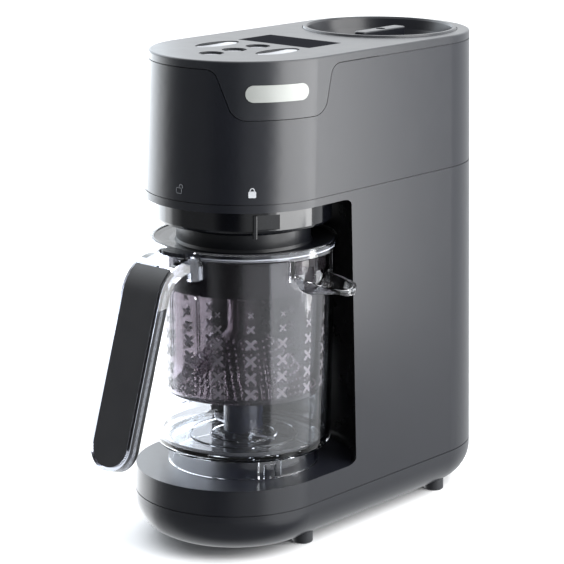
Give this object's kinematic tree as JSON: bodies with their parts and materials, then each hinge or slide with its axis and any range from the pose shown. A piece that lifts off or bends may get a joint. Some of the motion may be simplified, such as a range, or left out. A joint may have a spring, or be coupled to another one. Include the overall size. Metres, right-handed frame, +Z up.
{
  "type": "baby food maker",
  "caption": "Countertop steamer and blender: C-shaped body with head motor and water tank, clear spouted jug with steaming basket, twist lock ring and press keys.",
  "frame": {"origin": "middle of the whole object's bounding box at the height of the feet's soles, which stand on Z = 0", "axes": "+Z up, front with the jug and its handle towards -Y, pouring spout towards +X"},
  "size_m": [0.1482, 0.3238, 0.3072],
  "materials": {
    "shell_matte": "fine matte moulded charcoal",
    "bay_satin": "satin moulded black",
    "top_satin": "satin moulded charcoal",
    "gloss_black": "polished black",
    "clear_plastic": "clear, polished",
    "smoky_plastic": "smoke-tinted clear",
    "lid_dark": "polished dark grey",
    "neck_matte": "matte dark grey",
    "hub_dark": "blue-black moulded",
    "soft_grip": "soft-touch black",
    "foot_rubber": "matte rubber",
    "silicone": "translucent grey silicone",
    "key_satin": "satin grey keys",
    "screen_gloss": "tinted window",
    "tank_clear": "tinted clear",
    "steel": "brushed stainless steel",
    "cast_aluminium": "cast",
    "board_green": "circuit board",
    "badge_metal": "satin silver"
  },
  "bodies": {
    "base": {"base_tray": "shell_matte", "rubber_feet": "foot_rubber", "tray_screws": "steel", "lower_housing": "shell_matte", "bay_liner": "bay_satin", "cord_gland": "foot_rubber", "power_board": "board_green", "boiler_bracket": "steel", "boiler": "cast_aluminium", "thermostat": "steel", "water_pipe": "silicone", "steam_pipe": "silicone", "steam_nozzle": "silicone", "tank_shelf": "shell_matte", "water_tank": "tank_clear", "tank_outlet_valve": "silicone", "upper_housing": "shell_matte", "housing_screws": "steel", "top_plate": "top_satin", "display_window": "screen_gloss", "display_module": "gloss_black", "control_board": "board_green", "tactile_switches": "gloss_black", "badge_plate": "badge_metal", "ring_retainer": "neck_matte", "retainer_screws": "steel", "motor_bracket": "steel", "motor_screws": "steel", "motor_stator": "steel"},
    "drive": {"motor_rotor": "steel", "motor_shaft": "steel", "drive_coupling": "hub_dark"},
    "lock": {"lock_ring": "gloss_black", "bayonet_ring": "neck_matte"},
    "lid": {"tank_lid": "shell_matte", "lid_finger_bar": "shell_matte", "tank_lid_gasket": "silicone"},
    "jug": {"jug_body": "clear_plastic", "handle_frame": "clear_plastic", "handle_grip": "soft_grip", "jug_lid": "lid_dark", "lid_neck": "neck_matte", "lid_seal": "silicone", "shaft_bush": "hub_dark", "steam_basket": "smoky_plastic"},
    "cutter": {"blade_shaft": "steel", "blade_sleeve": "hub_dark", "blades": "steel", "driven_coupling": "hub_dark"},
    "button_left": {"button_left": "key_satin"},
    "button_right": {"button_right": "key_satin"},
    "button_front": {"button_front": "key_satin"},
    "button_middle": {"button_middle": "key_satin"},
    "button_rear": {"button_rear": "key_satin"}
  },
  "joints": [
    {"name": "jug_slide", "type": "slide", "parent": "base", "child": "jug", "axis": [0, -1, 0], "range_m": [0, 0.16]},
    {"name": "blade_spin", "type": "hinge", "parent": "jug", "child": "cutter", "pos_m": [-0.0119, -0.03909, 0.09], "axis": [0, 0, 1], "continuous": true},
    {"name": "motor_spin", "type": "hinge", "parent": "base", "child": "drive", "pos_m": [-0.0119, -0.03909, 0.25], "axis": [0, 0, 1], "continuous": true},
    {"name": "lock_turn", "type": "hinge", "parent": "base", "child": "lock", "pos_m": [-0.0119, -0.03909, 0.209], "axis": [0, 0, 1], "range_deg": [-45, 0]},
    {"name": "lid_lift", "type": "slide", "parent": "base", "child": "lid", "axis": [0, 0, 1], "range_m": [0, 0.06]},
    {"name": "press_left", "type": "slide", "parent": "base", "child": "button_left", "axis": [0, 0, -1], "range_m": [0, 0.001], "stiffness_N_per_m": 400, "springref_m": -0.0008},
    {"name": "press_right", "type": "slide", "parent": "base", "child": "button_right", "axis": [0, 0, -1], "range_m": [0, 0.001], "stiffness_N_per_m": 400, "springref_m": -0.0008},
    {"name": "press_front", "type": "slide", "parent": "base", "child": "button_front", "axis": [0, 0, -1], "range_m": [0, 0.001], "stiffness_N_per_m": 400, "springref_m": -0.0008},
    {"name": "press_middle", "type": "slide", "parent": "base", "child": "button_middle", "axis": [0, 0, -1], "range_m": [0, 0.001], "stiffness_N_per_m": 400, "springref_m": -0.0008},
    {"name": "press_rear", "type": "slide", "parent": "base", "child": "button_rear", "axis": [0, 0, -1], "range_m": [0, 0.001], "stiffness_N_per_m": 400, "springref_m": -0.0008}
  ],
  "couplings": [
    {"joint": "blade_spin", "follows": "motor_spin", "ratio": 1}
  ]
}
